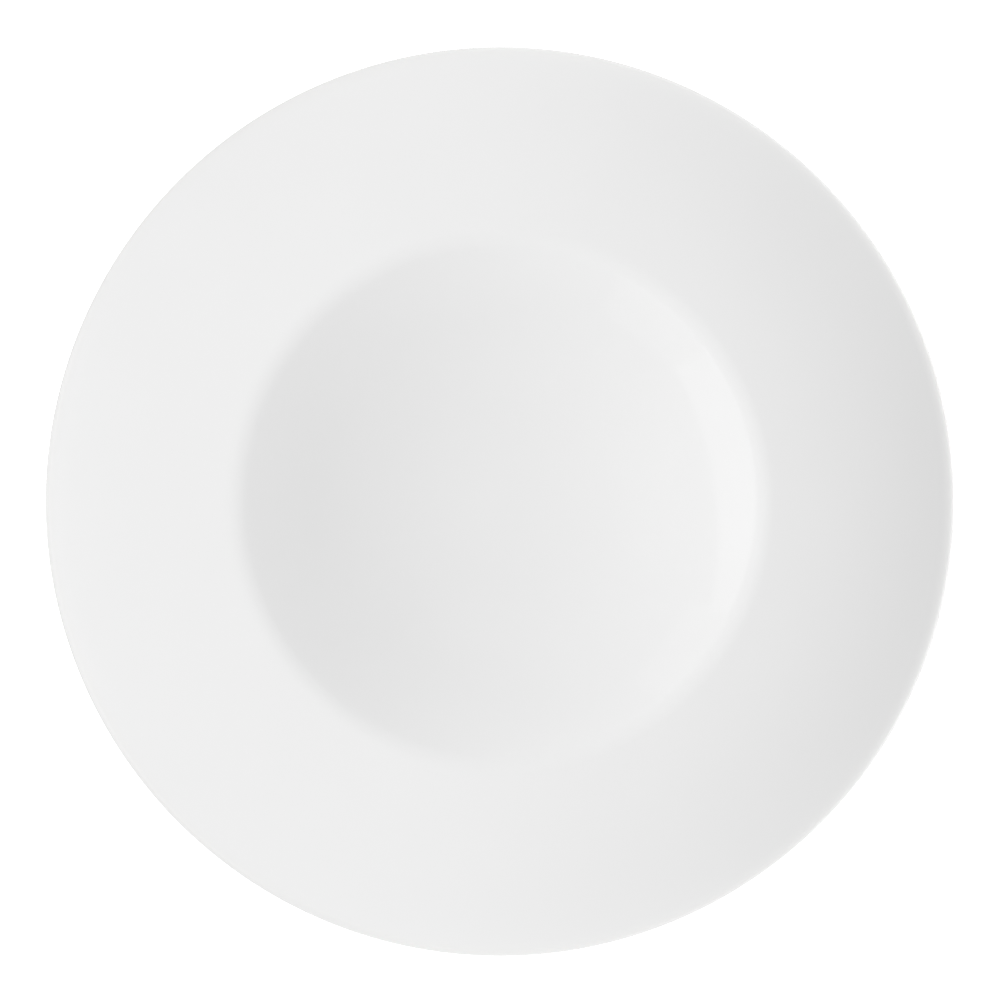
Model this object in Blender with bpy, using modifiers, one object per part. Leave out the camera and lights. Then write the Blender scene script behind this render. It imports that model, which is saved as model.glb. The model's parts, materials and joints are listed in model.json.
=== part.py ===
"""A wide-rimmed porcelain pasta plate: its fired body and the two coats of glaze on it.

The plate is a turned shape. Half an outline is worked out from the sizes below and spun about the Z
axis. The coats follow the same outline, so they change with it. Units are metres, +Z is up, the axis
of the plate is the Z axis, and the plate stands on z = 0.
"""
import math

import bpy
from mathutils import Vector

for leftover in list(bpy.data.objects):
    bpy.data.objects.remove(leftover)

# The plate and its fired body
PLATE_DIAMETER = 0.285            # across the lip, over the glaze
WELL_DIAMETER = 0.172             # across the crest, where the shoulder ends and the rim begins
WELL_DEPTH = 0.027                # from the crest down to the floor of the well
FLOOR_DIAMETER = 0.008            # the flat middle of the floor
SHOULDER_RADIUS = 0.013           # the soft turn from the well's wall to the rim
RIM_ANGLE = math.radians(5.5)     # how steeply the rim leaves the crest
EDGE_ANGLE = math.radians(-7.0)   # how far it has turned down where the lip begins
EDGE_TURN = 1.9                   # how late it turns down: 1 is a plain arc
WALL_THICKNESS = 0.0046           # of the floor and the well's wall
LIP_THICKNESS = 0.0034            # where the rim ends and the lip begins
LIP_REACH = 0.0046                # how far the rounded lip stands out from there
LIP_TIP = 0.6                     # how far down the lip its outermost point lies
BASE_CLEARANCE = 0.0025           # from the table up to the glazed base

# The ring that the plate stands on
FOOT_INSET = 0.042                # from the crest of the well in to the middle of the ring
FOOT_FLAT = 0.0014                # width of the standing face
FOOT_ROUND = 0.0009               # rounding on both sides of it
FOOT_DRAFT = math.radians(14.0)   # how far the flanks lean
FOOT_FILLET = 0.003               # rounding where the flanks meet the body
BARE_BAND = 0.0007                # the flank's bare stretch between its rounding and the glaze

# The glaze, and the seam that stands for the fused line between it and the body
GLAZE_THICKNESS = 0.0003
FUSE_GAP = 0.00002

# How finely the outline and the turn are cut into facets
ARC_STEP = math.radians(6.0)
RIM_SPANS = 4
LIP_SPANS = 4
BLEND_SPANS = 3
TURN_STEPS = 48
WELD_DISTANCE = 0.00001

COAT = GLAZE_THICKNESS + FUSE_GAP
FLOOR_RADIUS = FLOOR_DIAMETER / 2
WELL_RADIUS = WELL_DIAMETER / 2
FOOT_RADIUS = WELL_RADIUS - FOOT_INSET
LIP_RADIUS = PLATE_DIAMETER / 2 - COAT
BASE_Z = BASE_CLEARANCE + COAT
FLOOR_Z = BASE_Z + WALL_THICKNESS
CREST_Z = FLOOR_Z + WELL_DEPTH

# The bowl of the well and the shoulder above it are two arcs that share a tangent, the wall's angle.
BOWL_RUN = WELL_RADIUS - FLOOR_RADIUS + SHOULDER_RADIUS * math.sin(RIM_ANGLE)
BOWL_RISE = WELL_DEPTH + SHOULDER_RADIUS * (1 - math.cos(RIM_ANGLE))
WALL_ANGLE = 2 * math.atan2(BOWL_RISE, BOWL_RUN)
BOWL_RADIUS = BOWL_RUN / math.sin(WALL_ANGLE) - SHOULDER_RADIUS
UNDER_RADIUS = BOWL_RADIUS + WALL_THICKNESS
BOWL_CENTRE = Vector((FLOOR_RADIUS, FLOOR_Z + BOWL_RADIUS))
SHOULDER_CENTRE = Vector((WELL_RADIUS + SHOULDER_RADIUS * math.sin(RIM_ANGLE),
                          CREST_Z - SHOULDER_RADIUS * math.cos(RIM_ANGLE)))


def spans_of(angle):
    """How many facets an arc of this angle is cut into."""
    return max(2, math.ceil(abs(angle) / ARC_STEP))


def blend(start, corner, end, spans):
    """A rounded corner from start to end, without its first point."""
    points = []
    for i in range(1, spans + 1):
        t = i / spans
        points.append(start * (1 - t) ** 2 + corner * 2 * t * (1 - t) + end * t ** 2)
    return points


def bowl_arc(radius, start_angle, end_angle):
    """Points on an arc about the bowl's centre, by the angle from straight down."""
    spans = spans_of(end_angle - start_angle)
    points = []
    for i in range(spans + 1):
        angle = start_angle + (end_angle - start_angle) * i / spans
        points.append(BOWL_CENTRE + radius * Vector((math.sin(angle), -math.cos(angle))))
    return points


def shoulder_arc(radius, start_angle, end_angle):
    """Points on an arc about the shoulder's centre, by the slope of the surface there."""
    spans = spans_of(end_angle - start_angle)
    points = []
    for i in range(spans + 1):
        angle = start_angle + (end_angle - start_angle) * i / spans
        points.append(SHOULDER_CENTRE + radius * Vector((-math.sin(angle), math.cos(angle))))
    return points


def rim_stations():
    """The rim's upper side as (point, slope) from the shoulder to the lip.

    The rim rises from the shoulder, levels out and turns down a little, most of all near the lip.
    """
    step = (LIP_RADIUS - LIP_REACH - WELL_RADIUS) / RIM_SPANS
    point = Vector((WELL_RADIUS, CREST_Z))
    slope = RIM_ANGLE
    stations = [(point, slope)]
    for i in range(1, RIM_SPANS + 1):
        next_slope = RIM_ANGLE + (EDGE_ANGLE - RIM_ANGLE) * (i / RIM_SPANS) ** EDGE_TURN
        point = point + step * Vector((1.0, math.tan((slope + next_slope) / 2)))
        slope = next_slope
        stations.append((point, slope))
    return stations


def under(station, thickness):
    """The point on the underside that lies across the wall from a station."""
    point, slope = station
    return point + thickness * Vector((math.sin(slope), -math.cos(slope)))


def foot_flank(side):
    """One flank of the foot, 1 for the outer and -1 for the inner: its corner at the table, its way up,
    its glaze line, the end of its fillet, and its root with the root's angle about the bowl's centre."""
    corner = Vector((FOOT_RADIUS + side * (FOOT_FLAT / 2 + FOOT_ROUND), 0.0))
    upward = Vector((side * math.sin(FOOT_DRAFT), math.cos(FOOT_DRAFT)))
    reach = BOWL_CENTRE - corner
    along = reach.dot(upward)
    across = reach.length_squared - along ** 2
    root = corner + upward * (along - math.sqrt(UNDER_RADIUS ** 2 - across))
    glaze_line = corner + upward * (FOOT_ROUND + BARE_BAND)
    fillet = min(FOOT_FILLET, (root - glaze_line).length / 2)
    offset = root - BOWL_CENTRE
    fillet_angle = math.atan2(offset.x, -offset.y) + side * fillet / UNDER_RADIUS
    return corner, upward, glaze_line, root - upward * fillet, root, fillet_angle


def face_outline():
    """The body from the middle of the well, over the lip and under the rim to the outer glaze line."""
    stations = rim_stations()
    points = [Vector((0.0, FLOOR_Z))]
    points += bowl_arc(BOWL_RADIUS, 0.0, WALL_ANGLE)
    points += shoulder_arc(SHOULDER_RADIUS, WALL_ANGLE, RIM_ANGLE)[1:]
    points += [point for point, slope in stations[1:]]
    # The lip rounds over to its outermost point and then under, most of its thickness above that point
    edge, slope = stations[-1]
    edge_under = under(stations[-1], LIP_THICKNESS)
    over_corner = Vector((LIP_RADIUS, edge.y + (LIP_RADIUS - edge.x) * math.tan(slope)))
    under_corner = Vector((LIP_RADIUS, edge_under.y + (LIP_RADIUS - edge_under.x) * math.tan(slope)))
    tip = over_corner.lerp(under_corner, LIP_TIP)
    points += blend(edge, over_corner, tip, LIP_SPANS)
    points += blend(tip, under_corner, edge_under, LIP_SPANS)
    # The underside of the rim thickens towards the shoulder
    for i in range(RIM_SPANS - 1, 0, -1):
        thickness = WALL_THICKNESS + (LIP_THICKNESS - WALL_THICKNESS) * i / RIM_SPANS
        points.append(under(stations[i], thickness))
    points += shoulder_arc(SHOULDER_RADIUS - WALL_THICKNESS, RIM_ANGLE, WALL_ANGLE)
    corner, upward, glaze_line, fillet_end, root, fillet_angle = foot_flank(1)
    points += bowl_arc(UNDER_RADIUS, WALL_ANGLE, fillet_angle)[1:]
    points += blend(points[-1], root, fillet_end, BLEND_SPANS)
    points.append(glaze_line)
    return points


def bare_outline():
    """The unglazed end of the foot, between the two glaze lines and without them."""
    outer, outer_upward = foot_flank(1)[:2]
    inner, inner_upward = foot_flank(-1)[:2]
    half_flat = Vector((FOOT_FLAT / 2, 0.0))
    middle = Vector((FOOT_RADIUS, 0.0))
    points = [outer + outer_upward * FOOT_ROUND]
    points += blend(points[-1], outer, middle + half_flat, BLEND_SPANS)
    points.append(middle - half_flat)
    points += blend(points[-1], inner, inner + inner_upward * FOOT_ROUND, BLEND_SPANS)
    return points


def base_outline():
    """The body from the inner glaze line up into the recess and to the middle of the base."""
    corner, upward, glaze_line, fillet_end, root, fillet_angle = foot_flank(-1)
    arc = bowl_arc(UNDER_RADIUS, fillet_angle, 0.0)
    points = [glaze_line, fillet_end]
    points += blend(fillet_end, root, arc[0], BLEND_SPANS)
    points += arc[1:]
    points.append(Vector((0.0, BASE_Z)))
    return points


def moved_out(points, distance):
    """An outline moved outwards by the same distance along each of its facets."""
    normals = []
    for start, end in zip(points, points[1:]):
        along = (end - start).normalized()
        normals.append(Vector((-along.y, along.x)))
    moved = []
    for i, point in enumerate(points):
        before = normals[max(i - 1, 0)]
        after = normals[min(i, len(normals) - 1)]
        moved.append(point + distance * (before + after) / (1 + before.dot(after)))
    return moved


def finish(name, colour, roughness):
    """A plain dielectric material."""
    material = bpy.data.materials.new(name)
    material.use_nodes = True
    shader = material.node_tree.nodes["Principled BSDF"]
    shader.inputs["Base Color"].default_value = (*colour, 1.0)
    shader.inputs["Roughness"].default_value = roughness
    shader.inputs["Metallic"].default_value = 0.0
    return material


def turned(name, profile, material, collection, parent):
    """A piece spun about the Z axis from a profile that runs from its top to its bottom."""
    mesh = bpy.data.meshes.new(name)
    vertices = [(point.x, 0.0, point.y) for point in profile]
    edges = [(i, i + 1) for i in range(len(profile) - 1)]
    mesh.from_pydata(vertices, edges, [])
    mesh.materials.append(material)
    piece = bpy.data.objects.new(name, mesh)
    collection.objects.link(piece)
    piece.parent = parent
    screw = piece.modifiers.new("turn", "SCREW")
    screw.axis = "Z"
    screw.angle = 2 * math.pi
    screw.steps = TURN_STEPS
    screw.render_steps = TURN_STEPS
    screw.use_merge_vertices = True
    screw.merge_threshold = WELD_DISTANCE
    screw.use_smooth_shade = True


plate = bpy.data.collections.new("pasta_plate")
bpy.context.scene.collection.children.link(plate)
centre = bpy.data.objects.new("plate_axis", None)
plate.objects.link(centre)

face = face_outline()
base = base_outline()

porcelain = finish("bisque_porcelain", (0.83, 0.82, 0.79), 0.75)
turned("porcelain_body", face + bare_outline() + base, porcelain, plate, centre)

face_gloss = finish("white_face_glaze", (0.84, 0.84, 0.84), 0.10)
face_coat = moved_out(face, COAT) + moved_out(face, FUSE_GAP)[::-1]
turned("face_glaze", face_coat, face_gloss, plate, centre)

base_gloss = finish("white_base_glaze", (0.82, 0.82, 0.81), 0.14)
base_coat = moved_out(base, FUSE_GAP)[::-1] + moved_out(base, COAT)
turned("base_glaze", base_coat, base_gloss, plate, centre)
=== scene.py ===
"""The looks of a wide-rimmed porcelain pasta plate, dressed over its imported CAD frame.

A plate is turned on a wheel, so each piece is the outline of half its section, spun about the Z axis by
one Geometry Nodes tree. Units are metres, +Z is up, and the plate stands on z = 0 with its axis on the
Z axis.
"""
import json
import math

import bpy
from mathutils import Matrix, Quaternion, Vector


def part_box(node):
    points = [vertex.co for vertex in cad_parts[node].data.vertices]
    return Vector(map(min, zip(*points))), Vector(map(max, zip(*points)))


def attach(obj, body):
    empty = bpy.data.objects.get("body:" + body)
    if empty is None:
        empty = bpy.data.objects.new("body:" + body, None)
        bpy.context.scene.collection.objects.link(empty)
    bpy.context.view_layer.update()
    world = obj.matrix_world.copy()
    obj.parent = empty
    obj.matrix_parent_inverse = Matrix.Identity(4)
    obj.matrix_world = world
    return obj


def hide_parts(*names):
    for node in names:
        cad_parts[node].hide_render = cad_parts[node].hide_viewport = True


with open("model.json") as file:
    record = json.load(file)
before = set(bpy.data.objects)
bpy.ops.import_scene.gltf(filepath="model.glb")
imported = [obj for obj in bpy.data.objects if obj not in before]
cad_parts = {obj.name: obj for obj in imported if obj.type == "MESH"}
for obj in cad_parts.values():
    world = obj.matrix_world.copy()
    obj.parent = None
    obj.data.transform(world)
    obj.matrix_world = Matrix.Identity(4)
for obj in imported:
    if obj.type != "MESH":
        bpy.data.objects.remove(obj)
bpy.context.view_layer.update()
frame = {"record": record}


# The porcelain body: well, shoulder, rim, lip and foot ring in one piece of white clay, pressed, turned
# on a wheel and fired. Glaze covers all of it but the end of the foot, which is wiped bare so that it
# can't stick to the kiln shelf, and ground smooth after the firing.
PLATE_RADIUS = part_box("face_glaze")[1].x  # to the lip, over the glaze
FOOT_RADIUS = frame["record"]["mounts"][0]["pos_m"][0]  # to the middle of the foot ring
WELL_RADIUS = 0.086               # to the crest, where the shoulder ends and the rim begins
WELL_DEPTH = 0.027                # from the crest down to the floor of the well
FLOOR_RADIUS = 0.004              # the flat middle of the floor
SHOULDER_RADIUS = 0.013           # the soft turn from the well's wall to the rim
RIM_ANGLE = math.radians(5.5)     # how steeply the rim leaves the crest
EDGE_ANGLE = math.radians(-7.0)   # how far it has turned down where the lip begins
EDGE_TURN = 1.9                   # how late it turns down: 1 is a plain arc
WALL_THICKNESS = 0.0046           # of the floor and the well's wall
LIP_THICKNESS = 0.0034            # where the rim ends and the lip begins
LIP_REACH = 0.0046                # how far the rounded lip stands out from there
LIP_TIP = 0.6                     # how far down the lip its outermost point lies
BASE_CLEARANCE = 0.0025           # from the table up to the glazed base
FOOT_FLAT = 0.0014                # width of the standing face
FOOT_ROUND = 0.0009               # rounding on both sides of it
FOOT_DRAFT = math.radians(14.0)   # how far the foot's flanks lean
FOOT_FILLET = 0.003               # rounding where the flanks meet the body
BARE_BAND = 0.0007                # the flank's bare stretch between its rounding and the glaze
GLAZE_THICKNESS = 0.0003          # of both coats, at their fullest
LIP_GLAZE = 0.00022               # and of the face's coat on the lip's tip, where it draws thin
FUSE_GAP = 0.00002                # the seam that stands for the fused line under the glaze
KILN_WARP = 0.0002                # how far the fire has lifted and dropped the lip
KILN_WAVES = 2.0                  # and how many times on the way round
ARC_STEP = math.radians(1.25)     # how finely the outline's arcs are cut
ARC_SPANS = 2                     # and the fewest spans that one has
RIM_SPANS = 24                    # how many the rim has
LIP_SPANS = 10                    # how many each half of the lip has
BLEND_SPANS = 8                   # how many each rounding of the foot has
TURN_STEPS = 240                  # how finely the turn is cut
WELD_DISTANCE = 0.000001          # points closer together than this are one

COAT = GLAZE_THICKNESS + FUSE_GAP
LIP_RADIUS = PLATE_RADIUS - LIP_GLAZE - FUSE_GAP
BASE_Z = BASE_CLEARANCE + COAT
FLOOR_Z = BASE_Z + WALL_THICKNESS
CREST_Z = FLOOR_Z + WELL_DEPTH

# The bowl of the well and the shoulder above it are two arcs that share a tangent, the wall's angle
BOWL_RUN = WELL_RADIUS - FLOOR_RADIUS + SHOULDER_RADIUS * math.sin(RIM_ANGLE)
BOWL_RISE = WELL_DEPTH + SHOULDER_RADIUS * (1 - math.cos(RIM_ANGLE))
WALL_ANGLE = 2 * math.atan2(BOWL_RISE, BOWL_RUN)
BOWL_RADIUS = BOWL_RUN / math.sin(WALL_ANGLE) - SHOULDER_RADIUS
UNDER_RADIUS = BOWL_RADIUS + WALL_THICKNESS
BOWL_CENTRE = Vector((FLOOR_RADIUS, FLOOR_Z + BOWL_RADIUS))
SHOULDER_CENTRE = Vector((WELL_RADIUS + SHOULDER_RADIUS * math.sin(RIM_ANGLE),
                          CREST_Z - SHOULDER_RADIUS * math.cos(RIM_ANGLE)))


def arc(centre, radius, start_slope, end_slope):
    """Points on an arc by the slope there: hollow about its centre, or domed where radius is negative."""
    spans = max(ARC_SPANS, math.ceil(abs(end_slope - start_slope) / ARC_STEP))
    points = []
    for i in range(spans + 1):
        slope = start_slope + (end_slope - start_slope) * i / spans
        points.append(centre + radius * Vector((math.sin(slope), -math.cos(slope))))
    return points


def blend(start, corner, end, spans):
    """A rounded corner from start to end, without its first point."""
    points = []
    for i in range(1, spans + 1):
        t = i / spans
        points.append(start * (1 - t) ** 2 + corner * 2 * t * (1 - t) + end * t ** 2)
    return points


def rim_stations():
    """The rim's upper side as (point, slope): it rises from the shoulder, levels out and turns down."""
    step = (LIP_RADIUS - LIP_REACH - WELL_RADIUS) / RIM_SPANS
    point = Vector((WELL_RADIUS, CREST_Z))
    slope = RIM_ANGLE
    stations = [(point, slope)]
    for i in range(1, RIM_SPANS + 1):
        next_slope = RIM_ANGLE + (EDGE_ANGLE - RIM_ANGLE) * (i / RIM_SPANS) ** EDGE_TURN
        point = point + step * Vector((1.0, math.tan((slope + next_slope) / 2)))
        slope = next_slope
        stations.append((point, slope))
    return stations


def under(station, thickness):
    """The point on the underside that lies across the wall from a station."""
    point, slope = station
    return point + thickness * Vector((math.sin(slope), -math.cos(slope)))


def foot_flank(side):
    """One flank of the foot, 1 for the outer and -1 for the inner: its corner at the table, its way up,
    its glaze line, the end of its fillet, and its root with the root's slope about the bowl's centre."""
    corner = Vector((FOOT_RADIUS + side * (FOOT_FLAT / 2 + FOOT_ROUND), 0.0))
    upward = Vector((side * math.sin(FOOT_DRAFT), math.cos(FOOT_DRAFT)))
    reach = BOWL_CENTRE - corner
    along = reach.dot(upward)
    across = reach.length_squared - along ** 2
    root = corner + upward * (along - math.sqrt(UNDER_RADIUS ** 2 - across))
    glaze_line = corner + upward * (FOOT_ROUND + BARE_BAND)
    fillet = min(FOOT_FILLET, (root - glaze_line).length / 2)
    offset = root - BOWL_CENTRE
    fillet_slope = math.atan2(offset.x, -offset.y) + side * fillet / UNDER_RADIUS
    return corner, upward, glaze_line, root - upward * fillet, root, fillet_slope


def face_outline():
    """The body from the middle of the well, over the lip and under the rim to the outer glaze line."""
    stations = rim_stations()
    points = [Vector((0.0, FLOOR_Z))]
    points += arc(BOWL_CENTRE, BOWL_RADIUS, 0.0, WALL_ANGLE)
    points += arc(SHOULDER_CENTRE, -SHOULDER_RADIUS, WALL_ANGLE, RIM_ANGLE)[1:]
    points += [point for point, slope in stations[1:]]
    # The lip rounds over to its outermost point and then under, most of its thickness above that point
    edge, slope = stations[-1]
    edge_under = under(stations[-1], LIP_THICKNESS)
    over_corner = Vector((LIP_RADIUS, edge.y + (LIP_RADIUS - edge.x) * math.tan(slope)))
    under_corner = Vector((LIP_RADIUS, edge_under.y + (LIP_RADIUS - edge_under.x) * math.tan(slope)))
    tip = over_corner.lerp(under_corner, LIP_TIP)
    points += blend(edge, over_corner, tip, LIP_SPANS)
    points += blend(tip, under_corner, edge_under, LIP_SPANS)
    # The underside of the rim thickens towards the shoulder
    for i in range(RIM_SPANS - 1, 0, -1):
        thickness = WALL_THICKNESS + (LIP_THICKNESS - WALL_THICKNESS) * i / RIM_SPANS
        points.append(under(stations[i], thickness))
    points += arc(SHOULDER_CENTRE, WALL_THICKNESS - SHOULDER_RADIUS, RIM_ANGLE, WALL_ANGLE)
    corner, upward, glaze_line, fillet_end, root, fillet_slope = foot_flank(1)
    points += arc(BOWL_CENTRE, UNDER_RADIUS, WALL_ANGLE, fillet_slope)[1:]
    points += blend(points[-1], root, fillet_end, BLEND_SPANS)
    points.append(glaze_line)
    return points


def bare_outline():
    """The unglazed end of the foot, between the two glaze lines and without them."""
    outer, outer_upward = foot_flank(1)[:2]
    inner, inner_upward = foot_flank(-1)[:2]
    half_flat = Vector((FOOT_FLAT / 2, 0.0))
    middle = Vector((FOOT_RADIUS, 0.0))
    points = [outer + outer_upward * FOOT_ROUND]
    points += blend(points[-1], outer, middle + half_flat, BLEND_SPANS)
    points.append(middle - half_flat)
    points += blend(points[-1], inner, inner + inner_upward * FOOT_ROUND, BLEND_SPANS)
    return points


def base_outline():
    """The body from the inner glaze line up into the recess and to the middle of the base."""
    corner, upward, glaze_line, fillet_end, root, fillet_slope = foot_flank(-1)
    recess = arc(BOWL_CENTRE, UNDER_RADIUS, fillet_slope, 0.0)
    points = [glaze_line, fillet_end]
    points += blend(fillet_end, root, recess[0], BLEND_SPANS)
    points += recess[1:]
    points.append(Vector((0.0, BASE_Z)))
    return points


def add(tree, kind, inputs=None, **settings):
    """A new node with its settings, each input given a value or linked from another node's output."""
    node = tree.nodes.new(kind)
    for name, value in settings.items():
        setattr(node, name, value)
    by_identifier = {socket.identifier: socket for socket in node.inputs}
    for name, value in (inputs or {}).items():
        socket = by_identifier[name] if name in by_identifier else node.inputs[name]
        if isinstance(value, bpy.types.NodeSocket):
            tree.links.new(value, socket)
        else:
            socket.default_value = value
    return node


def maths(tree, operation, *values):
    """One step of arithmetic on plain values and other nodes' outputs."""
    inputs = dict(zip(("Value", "Value_001"), values))
    return add(tree, "ShaderNodeMath", inputs, operation=operation).outputs[0]


def ranged(tree, value, from_span, to_span=(0.0, 1.0)):
    """A value taken smoothly from one span to another, and held at its ends."""
    spread = add(tree, "ShaderNodeMapRange",
                 {"Value": value, "From Min": from_span[0], "From Max": from_span[1], "To Min": to_span[0],
                  "To Max": to_span[1]}, interpolation_type="SMOOTHSTEP")
    return spread.outputs["Result"]


def node_group(name, kind, inputs, outputs):
    """An empty node group with named inputs and outputs, as (group, input sockets)."""
    tree = bpy.data.node_groups.new(name, kind)
    for socket, socket_kind in inputs.items():
        tree.interface.new_socket(socket, in_out="INPUT", socket_type=socket_kind)
    for socket, socket_kind in outputs.items():
        tree.interface.new_socket(socket, in_out="OUTPUT", socket_type=socket_kind)
    return tree, tree.nodes.new("NodeGroupInput").outputs


def wheel_tree():
    """The wheel: spins an outline in the XZ plane about the Z axis, and warps it a little, like a kiln."""
    tree, given = node_group(
        "turned_on_the_wheel", "GeometryNodeTree",
        {"Outline": "NodeSocketGeometry", "Turn Steps": "NodeSocketInt", "Kiln Warp": "NodeSocketFloat",
         "Kiln Waves": "NodeSocketFloat", "Warp From": "NodeSocketFloat", "Warp To": "NodeSocketFloat",
         "Finish": "NodeSocketMaterial"},
        {"Turned Piece": "NodeSocketGeometry"})
    # A grid with a row for each point of the outline, and a column for each step of the turn and its end
    rows = add(tree, "GeometryNodeAttributeDomainSize", {"Geometry": given["Outline"]}, component="MESH")
    columns = add(tree, "FunctionNodeIntegerMath", {"Value": given["Turn Steps"], "Value_001": 1},
                  operation="ADD")
    grid = add(tree, "GeometryNodeMeshGrid",
               {"Vertices X": rows.outputs["Point Count"], "Vertices Y": columns.outputs[0]})
    index = tree.nodes.new("GeometryNodeInputIndex")
    split = {"Value": index.outputs[0], "Value_001": columns.outputs[0]}
    row = add(tree, "FunctionNodeIntegerMath", split, operation="DIVIDE_FLOOR")
    column = add(tree, "FunctionNodeIntegerMath", split, operation="MODULO")
    # Each row takes its point of the outline, and each column turns it
    place = tree.nodes.new("GeometryNodeInputPosition")
    point = add(tree, "GeometryNodeSampleIndex",
                {"Geometry": given["Outline"], "Value": place.outputs[0], "Index": row.outputs[0]},
                data_type="FLOAT_VECTOR")
    share = maths(tree, "DIVIDE", column.outputs[0], given["Turn Steps"])
    angle = maths(tree, "MULTIPLY", share, math.tau)
    spun = add(tree, "ShaderNodeVectorRotate", {"Vector": point.outputs[0], "Angle": angle},
               rotation_type="Z_AXIS")
    # The warp grows from nothing at the foot, and goes up and down in waves round the lip
    radius = add(tree, "ShaderNodeSeparateXYZ", {"Vector": point.outputs[0]}).outputs["X"]
    growth = ranged(tree, radius, (given["Warp From"], given["Warp To"]))
    wave = maths(tree, "SINE", maths(tree, "MULTIPLY", angle, given["Kiln Waves"]))
    height = maths(tree, "MULTIPLY", wave, given["Kiln Warp"])
    lift = maths(tree, "MULTIPLY", height, growth)
    offset = add(tree, "ShaderNodeCombineXYZ", {"Z": lift})
    turned = add(tree, "GeometryNodeSetPosition",
                 {"Geometry": grid.outputs["Mesh"], "Position": spun.outputs[0], "Offset": offset.outputs[0]})
    # The seam and the poles on the axis are closed
    closed = add(tree, "GeometryNodeMergeByDistance",
                 {"Geometry": turned.outputs[0], "Distance": WELD_DISTANCE})
    smooth = add(tree, "GeometryNodeSetShadeSmooth", {"Geometry": closed.outputs[0]})
    real = add(tree, "GeometryNodeRealizeInstances", {"Geometry": smooth.outputs[0]})
    finished = add(tree, "GeometryNodeSetMaterial",
                   {"Geometry": real.outputs[0], "Material": given["Finish"]})
    add(tree, "NodeGroupOutput", {"Turned Piece": finished.outputs[0]})
    return tree


WHEEL = wheel_tree()


def turned_piece(name, outline, material):
    """A closed plain mesh spun from an outline that runs from its top to its bottom."""
    half = bpy.data.meshes.new(name + "_outline")
    half.from_pydata([(point.x, 0.0, point.y) for point in outline],
                     [(i, i + 1) for i in range(len(outline) - 1)], [])
    piece = bpy.data.objects.new(name, half)
    bpy.context.scene.collection.objects.link(piece)
    wheel = piece.modifiers.new("wheel", "NODES")
    wheel.node_group = WHEEL
    settings = {"Turn Steps": TURN_STEPS, "Kiln Warp": KILN_WARP, "Kiln Waves": KILN_WAVES,
                "Warp From": FOOT_RADIUS, "Warp To": PLATE_RADIUS, "Finish": material}
    for item in WHEEL.interface.items_tree:
        if item.name in settings:
            wheel[item.identifier] = settings[item.name]
    evaluated = piece.evaluated_get(bpy.context.evaluated_depsgraph_get())
    mesh = bpy.data.meshes.new_from_object(evaluated)
    mesh.name = name
    piece.modifiers.remove(wheel)
    piece.data = mesh
    bpy.data.meshes.remove(half)
    return piece


def from_axis(tree, place):
    """How far a place lies from the plate's axis."""
    flat = add(tree, "ShaderNodeVectorMath", {"Vector": place, "Vector_001": (1.0, 1.0, 0.0)},
               operation="MULTIPLY")
    return add(tree, "ShaderNodeVectorMath", {"Vector": flat.outputs[0]}, operation="LENGTH").outputs["Value"]


def wheel_marks_group():
    """The faint rings round the plate's axis that a turning or grinding tool leaves."""
    tree, given = node_group(
        "wheel_marks", "ShaderNodeTree",
        {"Place": "NodeSocketVector", "Spacing": "NodeSocketFloat", "Wander": "NodeSocketFloat"},
        {"Ring": "NodeSocketFloat"})
    fineness = maths(tree, "DIVIDE", 1.0, given["Spacing"])
    drift = add(tree, "ShaderNodeTexNoise", {"Vector": given["Place"], "Scale": fineness},
                noise_dimensions="3D")
    shift = maths(tree, "MULTIPLY", drift.outputs["Fac"], given["Wander"])
    loose = maths(tree, "ADD", from_axis(tree, given["Place"]), shift)
    ring = add(tree, "ShaderNodeTexNoise", {"W": loose, "Scale": fineness, "Detail": 3.0},
               noise_dimensions="1D")
    add(tree, "NodeGroupOutput", {"Ring": ring.outputs["Fac"]})
    return tree


WHEEL_MARKS = wheel_marks_group()


def mixed(tree, share, first, second):
    """A colour that goes from first to second as share goes from 0 to 1."""
    mix = add(tree, "ShaderNodeMix", {"Factor_Float": share, "A_Color": first, "B_Color": second},
              data_type="RGBA")
    return next(socket for socket in mix.outputs if socket.identifier == "Result_Color")


def new_material(name):
    """An empty material with its tree, its shader and the place on the piece that its nodes read."""
    material = bpy.data.materials.new(name)
    material.use_nodes = True
    tree = material.node_tree
    place = add(tree, "ShaderNodeTexCoord").outputs["Object"]
    return material, tree, tree.nodes["Principled BSDF"], place


IVORY = (0.80, 0.775, 0.72, 1.0)       # bare porcelain
RUBBED = (0.66, 0.645, 0.61, 1.0)      # where tables have greyed it
HALO = (0.76, 0.69, 0.58, 1.0)         # the warm line that the glaze leaves beside its edge
BARE_ROUGHNESS = (0.55, 0.85)
NOISE_SPAN = (0.3, 0.7)                # where nearly all of a noise's values lie
SAND_SIZE = 0.00025
SAND_DEPTH = 0.00002
RUB_SIZE = 0.009
RUB_SPAN = (0.5, 0.7)                  # the noise's values where the rub marks begin and are full
RUB_GREY = (0.0, 0.8)                  # and how grey they are there
GRIND_SPACING = 0.00018
GRIND_WANDER = 0.00012


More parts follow.
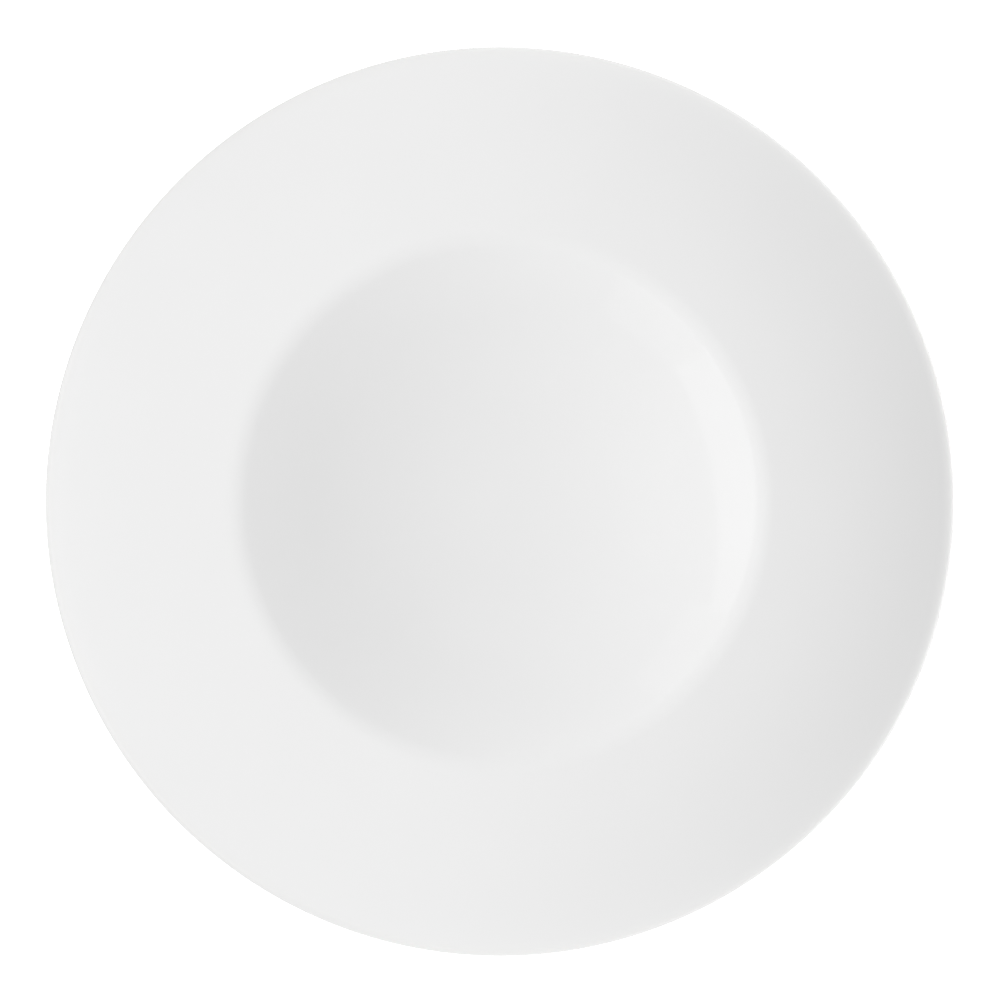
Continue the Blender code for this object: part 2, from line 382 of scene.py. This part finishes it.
def bare_porcelain():
    """Bare porcelain: ivory, sandy and dry, with grinding rings, grey rub marks and a warm glaze halo."""
    material, tree, shader, place = new_material("bare_porcelain")
    sand = add(tree, "ShaderNodeTexNoise",
               {"Vector": place, "Scale": 1 / SAND_SIZE, "Detail": 4.0, "Roughness": 0.65})
    rub = add(tree, "ShaderNodeTexNoise", {"Vector": place, "Scale": 1 / RUB_SIZE, "Detail": 5.0})
    marks = add(tree, "ShaderNodeGroup",
                {"Place": place, "Spacing": GRIND_SPACING, "Wander": GRIND_WANDER}, node_tree=WHEEL_MARKS)
    height = add(tree, "ShaderNodeSeparateXYZ", {"Vector": place}).outputs["Z"]
    glaze_line_z = foot_flank(1)[2].y
    halo = ranged(tree, height, (glaze_line_z - BARE_BAND, glaze_line_z))
    worn = ranged(tree, rub.outputs["Fac"], RUB_SPAN, RUB_GREY)
    standing = ranged(tree, height, (0.0, FOOT_ROUND), (1.0, 0.0))
    colour = mixed(tree, maths(tree, "MULTIPLY", worn, standing), IVORY, RUBBED)
    tree.links.new(mixed(tree, halo, colour, HALO), shader.inputs["Base Color"])
    roughness = ranged(tree, sand.outputs["Fac"], NOISE_SPAN, BARE_ROUGHNESS)
    tree.links.new(roughness, shader.inputs["Roughness"])
    grit = maths(tree, "ADD", sand.outputs["Fac"], marks.outputs["Ring"])
    bump = add(tree, "ShaderNodeBump", {"Height": grit, "Distance": SAND_DEPTH})
    tree.links.new(bump.outputs["Normal"], shader.inputs["Normal"])
    return material


FACE = face_outline()
BASE = base_outline()
body = turned_piece("plate_body", FACE + bare_outline() + BASE, bare_porcelain())
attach(body, "root")
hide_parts("porcelain_body")


# The face glaze: a clear gloss coat over the white body, from the middle of the well over the lip and
# down the underside to the foot. The plate is dipped, so the glaze draws thin on the lip and ends in
# a soft roll at the line where the foot is wiped.
ROLL_LENGTH = 0.0007              # how far the coat takes to come up to its depth at the glaze line
ROLL_SPANS = 6                    # and how many spans it is cut into there
LIP_DRAW = 0.005                  # how far in from the lip's tip it draws thin
FACE_WHITE = (0.82, 0.82, 0.82, 1.0)
FACE_CLOUD = (0.816, 0.816, 0.816, 1.0)  # where the coat lies a little deeper
LIP_WHITE = (0.80, 0.799, 0.794, 1.0)    # where the body warms the thin coat
FACE_ROUGHNESS = (0.05, 0.08)
PEEL_SIZE = 0.005
PEEL_DEPTH = 0.0000025
CLOUD_SIZE = 0.04
CLOUD_SPAN = (0.35, 0.65)         # the noise's values where the clouds begin and are full
DULLING_FINENESS = 4.0            # how much finer than the clouds the less glossy patches are


def rolled_end(line, beside):
    """Points that come up to a glaze line from beside it, closer together towards the line."""
    inward = (beside - line).normalized() * ROLL_LENGTH
    points = []
    for i in range(ROLL_SPANS + 1):
        points.append(line + inward * (1 - math.sin(math.pi / 2 * i / ROLL_SPANS)))
    return points


def coat_depth(point, line):
    """How deep the glaze lies over a point of the body, with the seam under it."""
    climb = min(1.0, (point - line).length / ROLL_LENGTH)
    drawn = max(0.0, 1 - (LIP_RADIUS - point.x) / LIP_DRAW)
    full = GLAZE_THICKNESS + (LIP_GLAZE - GLAZE_THICKNESS) * drawn
    return FUSE_GAP + full * math.sqrt(1 - (1 - climb) ** 2)


def moved_out(points, distances):
    """An outline moved outwards at each of its points, square to the facets there."""
    normals = []
    for start, end in zip(points, points[1:]):
        along = (end - start).normalized()
        normals.append(Vector((-along.y, along.x)))
    moved = []
    for i, point in enumerate(points):
        before = normals[max(i - 1, 0)]
        after = normals[min(i, len(normals) - 1)]
        moved.append(point + distances[i] * (before + after) / (1 + before.dot(after)))
    return moved


def coat_outlines(points, line):
    """The outer side of a coat and its side against the body, along an outline with a glaze line."""
    outer = moved_out(points, [coat_depth(point, line) for point in points])
    inner = moved_out(points, [FUSE_GAP] * len(points))
    return outer, inner


def glaze_skin_group():
    """The skin of a fired glaze: slow clouds of depth, a low orange peel, and where it is less glossy."""
    tree, given = node_group(
        "glaze_skin", "ShaderNodeTree",
        {"Place": "NodeSocketVector", "Peel Size": "NodeSocketFloat", "Cloud Size": "NodeSocketFloat"},
        {"Peel": "NodeSocketFloat", "Cloud": "NodeSocketFloat", "Dulling": "NodeSocketFloat"})
    peel_fineness = maths(tree, "DIVIDE", 1.0, given["Peel Size"])
    cloud_fineness = maths(tree, "DIVIDE", 1.0, given["Cloud Size"])
    patch_fineness = maths(tree, "MULTIPLY", cloud_fineness, DULLING_FINENESS)
    peel = add(tree, "ShaderNodeTexNoise",
               {"Vector": given["Place"], "Scale": peel_fineness, "Detail": 1.0})
    cloud = add(tree, "ShaderNodeTexNoise",
                {"Vector": given["Place"], "Scale": cloud_fineness, "Detail": 2.0})
    dulling = add(tree, "ShaderNodeTexNoise",
                  {"Vector": given["Place"], "Scale": patch_fineness, "Detail": 3.0})
    clouded = ranged(tree, cloud.outputs["Fac"], CLOUD_SPAN)
    dulled = ranged(tree, dulling.outputs["Fac"], NOISE_SPAN)
    add(tree, "NodeGroupOutput", {"Peel": peel.outputs["Fac"], "Cloud": clouded, "Dulling": dulled})
    return tree


GLAZE_SKIN = glaze_skin_group()


def face_gloss():
    """Glossy white glaze, a shade deeper in clouds, and warmer on the lip where the coat is thin."""
    material, tree, shader, place = new_material("face_gloss")
    skin = add(tree, "ShaderNodeGroup",
               {"Place": place, "Peel Size": PEEL_SIZE, "Cloud Size": CLOUD_SIZE},
               node_tree=GLAZE_SKIN).outputs
    thin = ranged(tree, from_axis(tree, place), (PLATE_RADIUS - LIP_DRAW, PLATE_RADIUS))
    colour = mixed(tree, skin["Cloud"], FACE_WHITE, FACE_CLOUD)
    tree.links.new(mixed(tree, thin, colour, LIP_WHITE), shader.inputs["Base Color"])
    tree.links.new(ranged(tree, skin["Dulling"], (0.0, 1.0), FACE_ROUGHNESS), shader.inputs["Roughness"])
    bump = add(tree, "ShaderNodeBump", {"Height": skin["Peel"], "Distance": PEEL_DEPTH})
    tree.links.new(bump.outputs["Normal"], shader.inputs["Normal"])
    return material


face_body = FACE[:-1] + rolled_end(FACE[-1], FACE[-2])
face_outer, face_inner = coat_outlines(face_body, FACE[-1])
face_coat = turned_piece("face_coat", face_outer + face_inner[::-1], face_gloss())
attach(face_coat, "root")
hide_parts("face_glaze")


# The base glaze: the same coat in the recess inside the foot ring, cut off from the face's glaze by
# the bare foot. The dip leaves it a little less even there, and the tool's rings show faintly under it.
BASE_WHITE = (0.80, 0.80, 0.795, 1.0)
BASE_CLOUD = (0.775, 0.777, 0.775, 1.0)
BASE_ROUGHNESS = (0.10, 0.18)
BASE_PEEL_SIZE = 0.0035
RING_SPACING = 0.0022
RING_WANDER = 0.0006
RING_DEPTH = 0.00001


def base_gloss():
    """The recess's glaze: white, less even than the face, over the rings of the turning tool."""
    material, tree, shader, place = new_material("base_gloss")
    skin = add(tree, "ShaderNodeGroup",
               {"Place": place, "Peel Size": BASE_PEEL_SIZE, "Cloud Size": CLOUD_SIZE},
               node_tree=GLAZE_SKIN).outputs
    marks = add(tree, "ShaderNodeGroup",
                {"Place": place, "Spacing": RING_SPACING, "Wander": RING_WANDER}, node_tree=WHEEL_MARKS)
    tree.links.new(mixed(tree, skin["Cloud"], BASE_WHITE, BASE_CLOUD), shader.inputs["Base Color"])
    tree.links.new(ranged(tree, skin["Dulling"], (0.0, 1.0), BASE_ROUGHNESS), shader.inputs["Roughness"])
    peel = add(tree, "ShaderNodeBump", {"Height": skin["Peel"], "Distance": PEEL_DEPTH})
    rings = add(tree, "ShaderNodeBump",
                {"Height": marks.outputs["Ring"], "Distance": RING_DEPTH, "Normal": peel.outputs["Normal"]})
    tree.links.new(rings.outputs["Normal"], shader.inputs["Normal"])
    return material


base_body = rolled_end(BASE[0], BASE[1])[::-1] + BASE[1:]
base_outer, base_inner = coat_outlines(base_body, BASE[0])
base_coat = turned_piece("base_coat", base_inner[::-1] + base_outer, base_gloss())
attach(base_coat, "root")
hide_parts("base_glaze")


# The table: a plain sheet of white card under the plate. The camera sees it lifted to pure white, as the
# ground of a cut-out picture is; what it throws back at the plate is its own tone.
TABLE_SIZE = 8.0
CARD_WHITE = (0.9, 0.9, 0.9, 1.0)
CARD_LIFT = (0.65, 1.0)           # beside the plate, where its shade still shows, and further out
LIFT_REACH = (0.25, 0.9)          # the distances from the plate's axis where these hold
WHITE = (1.0, 1.0, 1.0, 1.0)


def table_card():
    """Matt white card, lifted for the camera alone."""
    material, tree, shader, place = new_material("table_card")
    shader.inputs["Base Color"].default_value = CARD_WHITE
    shader.inputs["Roughness"].default_value = 1.0
    shader.inputs["Specular IOR Level"].default_value = 0.0
    shader.inputs["Emission Color"].default_value = WHITE
    seen = add(tree, "ShaderNodeLightPath").outputs["Is Camera Ray"]
    lift = maths(tree, "MULTIPLY", seen, ranged(tree, from_axis(tree, place), LIFT_REACH, CARD_LIFT))
    tree.links.new(lift, shader.inputs["Emission Strength"])
    return material


half_table = TABLE_SIZE / 2
table_mesh = bpy.data.meshes.new("table")
table_mesh.from_pydata([(-half_table, -half_table, 0.0), (half_table, -half_table, 0.0),
                        (half_table, half_table, 0.0), (-half_table, half_table, 0.0)], [], [(0, 1, 2, 3)])
table_mesh.materials.append(table_card())
table = bpy.data.objects.new("table", table_mesh)
bpy.context.scene.collection.objects.link(table)


# The studio: a pale room and soft boxes. The key box at the left shows in the glaze as the bright crescent
# in the well, and two dim screens beside it carry the crescent's ends on round the shoulder. The rest are
# fills behind silk, which the glaze doesn't show; the low ones at the right keep the lip bright there.
ROOM_GLOW = 0.492                 # on the plate: the camera sees the room as pure white
KEY_AZIMUTH = 185
KEY_ELEVATION = 24
KEY_DISTANCE = 1.0
KEY_HEIGHT = 0.42
KEY_ROLL = 5                      # tilts the crescent's edge
SCREEN_TURN = 44                  # how far round the screens stand from the key box

room = bpy.data.worlds.new("studio_room")
room.use_nodes = True
bpy.context.scene.world = room
background = room.node_tree.nodes["Background"]
background.inputs["Color"].default_value = WHITE
seen_room = add(room.node_tree, "ShaderNodeLightPath").outputs["Is Camera Ray"]
room_glow = add(room.node_tree, "ShaderNodeMapRange",
                {"Value": seen_room, "To Min": ROOM_GLOW, "To Max": 1.0})
room.node_tree.links.new(room_glow.outputs["Result"], background.inputs["Strength"])


def softbox(name, azimuth, elevation, distance, width, height, glow, in_glaze=False, roll=0.0):
    """A soft box that faces the plate. Its angles, in degrees, go round the plate from +X, up from the table
    and round its own middle. A glow of 1 is as bright as pure white."""
    turn, climb = math.radians(azimuth), math.radians(elevation)
    away = Vector((math.cos(turn) * math.cos(climb), math.sin(turn) * math.cos(climb), math.sin(climb)))
    light = bpy.data.lights.new(name, "AREA")
    light.shape = "RECTANGLE"
    light.size = width
    light.size_y = height
    light.energy = glow * width * height * math.pi
    box = bpy.data.objects.new(name, light)
    box.location = away * distance
    facing = (-away).to_track_quat("-Z", "Y")
    box.rotation_euler = (facing @ Quaternion((0.0, 0.0, 1.0), math.radians(roll))).to_euler()
    box.visible_glossy = in_glaze
    bpy.context.scene.collection.objects.link(box)


softbox("key_box", KEY_AZIMUTH, KEY_ELEVATION, KEY_DISTANCE, width=1.06, height=KEY_HEIGHT, glow=0.68,
        in_glaze=True, roll=KEY_ROLL)
softbox("left_fill", azimuth=180, elevation=55, distance=0.8, width=0.40, height=0.24, glow=7.1)
softbox("top_fill", azimuth=90, elevation=90, distance=0.25, width=0.12, height=0.30, glow=1.06)
softbox("right_fill", azimuth=0, elevation=4, distance=0.25, width=0.30, height=0.025, glow=5.6)
for side in (1, -1):
    softbox("side_fill", azimuth=90 * side, elevation=20, distance=0.4, width=0.16, height=0.12, glow=2.72)
    softbox("left_screen", KEY_AZIMUTH + SCREEN_TURN * side, KEY_ELEVATION, KEY_DISTANCE, width=0.40,
            height=KEY_HEIGHT, glow=0.33, in_glaze=True, roll=KEY_ROLL)
    softbox("right_side_fill", azimuth=45 * side, elevation=6, distance=0.4, width=0.30, height=0.06,
            glow=5.4)


# The camera: straight above the plate, as in the photograph. Its lens is as long as it takes for the plate
# to fill its share of the frame.
CAMERA_HEIGHT = 1.8
FRAME_PIXELS = 1003               # the frame's longer side
PLATE_PIXELS = 909                # from lip to lip
LIP_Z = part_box("face_glaze")[1].z - LIP_THICKNESS  # about the height of the lip's tip

camera_data = bpy.data.cameras.new("camera")
camera = bpy.data.objects.new("camera", camera_data)
camera.location = (0.0, 0.0, CAMERA_HEIGHT)
plate_share = PLATE_PIXELS / FRAME_PIXELS
camera_data.lens = camera_data.sensor_width * plate_share * (CAMERA_HEIGHT - LIP_Z) / (2 * PLATE_RADIUS)
bpy.context.scene.collection.objects.link(camera)
bpy.context.scene.camera = camera
bpy.context.scene.view_settings.view_transform = "Standard"
